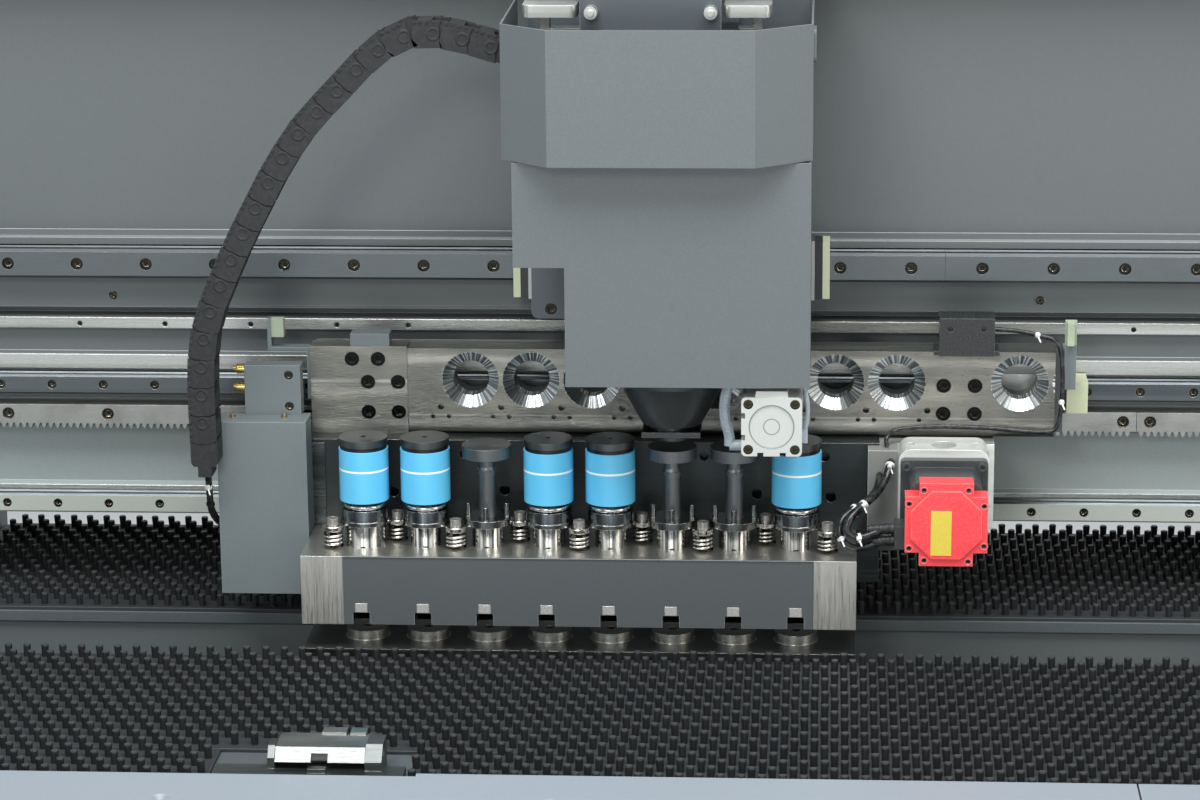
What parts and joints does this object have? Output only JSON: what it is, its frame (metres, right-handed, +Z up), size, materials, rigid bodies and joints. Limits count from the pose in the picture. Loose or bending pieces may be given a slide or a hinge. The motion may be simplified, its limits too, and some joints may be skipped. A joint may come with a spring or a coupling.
{
  "type": "cnc punch press with linear tool carriage",
  "caption": "Punching machine with a crossbeam, a carriage holding a row of spring-loaded tools, a ram head with cable carrier, and a brush table",
  "frame": {"origin": "middle of the footprint, on the floor", "axes": "+X along the crossbeam, +Y from the operator to the beam, +Z up"},
  "size_m": [1.76, 1.06, 1.694],
  "materials": {
    "painted_frame": "satin",
    "pale_sheet": "satin",
    "cover_sheet": "satin",
    "foot_steel": "dull",
    "bristles": "matt",
    "rail_steel": "ground",
    "screw_steel": "blackened",
    "clamp_steel": "blackened",
    "bright_steel": "ground",
    "machined_steel": "machined",
    "motor_black": "satin",
    "cap_red": "gloss",
    "lead_jacket": "satin",
    "carrier_plastic": "dusty",
    "cylinder_aluminium": "anodised",
    "hose_plastic": "clear",
    "ram_steel": "blackened",
    "sleeve_blue": "gloss",
    "punch_steel": "blackened"
  },
  "bodies": {
    "machine_frame": {"side_frames": "painted_frame", "levelling_feet": "foot_steel", "cross_members": "painted_frame", "table_plates": "pale_sheet", "brush_fields": "bristles", "front_apron": "pale_sheet", "crossbeam": "painted_frame", "head_rails": "rail_steel", "carriage_rails": "rail_steel", "rail_screws": "screw_steel", "gear_rack": "rail_steel", "clamp_body": "clamp_steel"},
    "clamp_jaw": {"clamp_jaw": "bright_steel"},
    "carriage": {"carriage_plate": "machined_steel", "carriage_guide_blocks": "bright_steel", "lock_bar": "bright_steel", "carriage_screws": "screw_steel", "tool_back_plate": "machined_steel", "tool_bar": "machined_steel", "bar_keys": "bright_steel", "lifter_bolts": "bright_steel", "tool_springs": "bright_steel", "cover_box": "cover_sheet", "oil_distributor": "cover_sheet", "motor_bracket": "bright_steel", "servomotor": "motor_black", "motor_end_cap": "cap_red", "leads": "lead_jacket", "sensor_block": "motor_black", "carriage_end_brackets": "cover_sheet", "cable_carrier": "carrier_plastic"},
    "pinion": {"pinion": "bright_steel"},
    "head": {"head_plate": "cover_sheet", "head_guide_blocks": "bright_steel", "ram_housing": "motor_black", "lower_cover": "cover_sheet", "upper_skirt": "cover_sheet", "head_drive": "motor_black", "lock_cylinder": "cylinder_aluminium", "cylinder_hose": "hose_plastic"},
    "ram": {"ram": "ram_steel"},
    "lock_pin": {"lock_pin": "bright_steel"},
    "die_carriage": {"die_bar": "machined_steel", "dies": "bright_steel"},
    "guide_1": {"guide_1": "bright_steel"},
    "punch_1": {"punch_1": "sleeve_blue"},
    "guide_2": {"guide_2": "bright_steel"},
    "punch_2": {"punch_2": "sleeve_blue"},
    "guide_3": {"guide_3": "bright_steel"},
    "punch_3": {"punch_3": "punch_steel"},
    "guide_4": {"guide_4": "bright_steel"},
    "punch_4": {"punch_4": "sleeve_blue"},
    "guide_5": {"guide_5": "bright_steel"},
    "punch_5": {"punch_5": "sleeve_blue"},
    "guide_6": {"guide_6": "bright_steel"},
    "punch_6": {"punch_6": "punch_steel"},
    "guide_7": {"guide_7": "bright_steel"},
    "punch_7": {"punch_7": "punch_steel"},
    "guide_8": {"guide_8": "bright_steel"},
    "punch_8": {"punch_8": "sleeve_blue"}
  },
  "joints": [
    {"name": "carriage_slide", "type": "slide", "parent": "machine_frame", "child": "carriage", "axis": [1, 0, 0], "range_m": [-0.29, 0.18]},
    {"name": "head_slide", "type": "slide", "parent": "carriage", "child": "head", "axis": [1, 0, 0], "range_m": [-0.3425, 0.137], "deforming": ["cable_carrier"]},
    {"name": "ram_stroke", "type": "slide", "parent": "head", "child": "ram", "axis": [0, 0, 1], "range_m": [-0.0342, 0]},
    {"name": "lock_pin_slide", "type": "slide", "parent": "head", "child": "lock_pin", "axis": [0, 1, 0], "range_m": [0, 0.03]},
    {"name": "clamp_jaw_hinge", "type": "hinge", "parent": "machine_frame", "child": "clamp_jaw", "pos_m": [-0.2385, -0.346, 0.854], "axis": [1, 0, 0], "range_deg": [0, 18]},
    {"name": "pinion_spin", "type": "hinge", "parent": "carriage", "child": "pinion", "pos_m": [0.3965, 0.25, 0.995], "axis": [0, 1, 0], "continuous": true},
    {"name": "die_carriage_slide", "type": "slide", "parent": "machine_frame", "child": "die_carriage", "axis": [1, 0, 0], "range_m": [-0.29, 0.18]},
    {"name": "guide_1_slide", "type": "slide", "parent": "carriage", "child": "guide_1", "axis": [0, 0, 1], "range_m": [-0.018, 0], "stiffness_N_per_m": 8000, "springref_m": 0.03, "deforming": ["tool_springs"]},
    {"name": "punch_1_slide", "type": "slide", "parent": "guide_1", "child": "punch_1", "axis": [0, 0, 1], "range_m": [-0.0145, 0], "stiffness_N_per_m": 12000, "springref_m": 0.02},
    {"name": "guide_2_slide", "type": "slide", "parent": "carriage", "child": "guide_2", "axis": [0, 0, 1], "range_m": [-0.018, 0], "stiffness_N_per_m": 8000, "springref_m": 0.03},
    {"name": "punch_2_slide", "type": "slide", "parent": "guide_2", "child": "punch_2", "axis": [0, 0, 1], "range_m": [-0.0145, 0], "stiffness_N_per_m": 12000, "springref_m": 0.02},
    {"name": "guide_3_slide", "type": "slide", "parent": "carriage", "child": "guide_3", "axis": [0, 0, 1], "range_m": [-0.018, 0], "stiffness_N_per_m": 8000, "springref_m": 0.03},
    {"name": "punch_3_slide", "type": "slide", "parent": "guide_3", "child": "punch_3", "axis": [0, 0, 1], "range_m": [-0.006, 0], "stiffness_N_per_m": 12000, "springref_m": 0.02},
    {"name": "guide_4_slide", "type": "slide", "parent": "carriage", "child": "guide_4", "axis": [0, 0, 1], "range_m": [-0.018, 0], "stiffness_N_per_m": 8000, "springref_m": 0.03},
    {"name": "punch_4_slide", "type": "slide", "parent": "guide_4", "child": "punch_4", "axis": [0, 0, 1], "range_m": [-0.0145, 0], "stiffness_N_per_m": 12000, "springref_m": 0.02},
    {"name": "guide_5_slide", "type": "slide", "parent": "carriage", "child": "guide_5", "axis": [0, 0, 1], "range_m": [-0.018, 0], "stiffness_N_per_m": 8000, "springref_m": 0.03},
    {"name": "punch_5_slide", "type": "slide", "parent": "guide_5", "child": "punch_5", "axis": [0, 0, 1], "range_m": [-0.0145, 0], "stiffness_N_per_m": 12000, "springref_m": 0.02},
    {"name": "guide_6_slide", "type": "slide", "parent": "carriage", "child": "guide_6", "axis": [0, 0, 1], "range_m": [-0.018, 0], "stiffness_N_per_m": 8000, "springref_m": 0.03},
    {"name": "punch_6_slide", "type": "slide", "parent": "guide_6", "child": "punch_6", "axis": [0, 0, 1], "range_m": [-0.006, 0], "stiffness_N_per_m": 12000, "springref_m": 0.02},
    {"name": "guide_7_slide", "type": "slide", "parent": "carriage", "child": "guide_7", "axis": [0, 0, 1], "range_m": [-0.018, 0], "stiffness_N_per_m": 8000, "springref_m": 0.03},
    {"name": "punch_7_slide", "type": "slide", "parent": "guide_7", "child": "punch_7", "axis": [0, 0, 1], "range_m": [-0.006, 0], "stiffness_N_per_m": 12000, "springref_m": 0.02},
    {"name": "guide_8_slide", "type": "slide", "parent": "carriage", "child": "guide_8", "axis": [0, 0, 1], "range_m": [-0.018, 0], "stiffness_N_per_m": 8000, "springref_m": 0.03},
    {"name": "punch_8_slide", "type": "slide", "parent": "guide_8", "child": "punch_8", "axis": [0, 0, 1], "range_m": [-0.0145, 0], "stiffness_N_per_m": 12000, "springref_m": 0.02}
  ],
  "couplings": [
    {"joint": "pinion_spin", "follows": "carriage_slide", "rad_per_m": -26.667},
    {"joint": "die_carriage_slide", "follows": "carriage_slide", "ratio": 1},
    {"joint": "guide_6_slide", "follows": "ram_stroke", "ratio": 0.5263},
    {"joint": "punch_6_slide", "follows": "ram_stroke", "ratio": 0.1754}
  ]
}
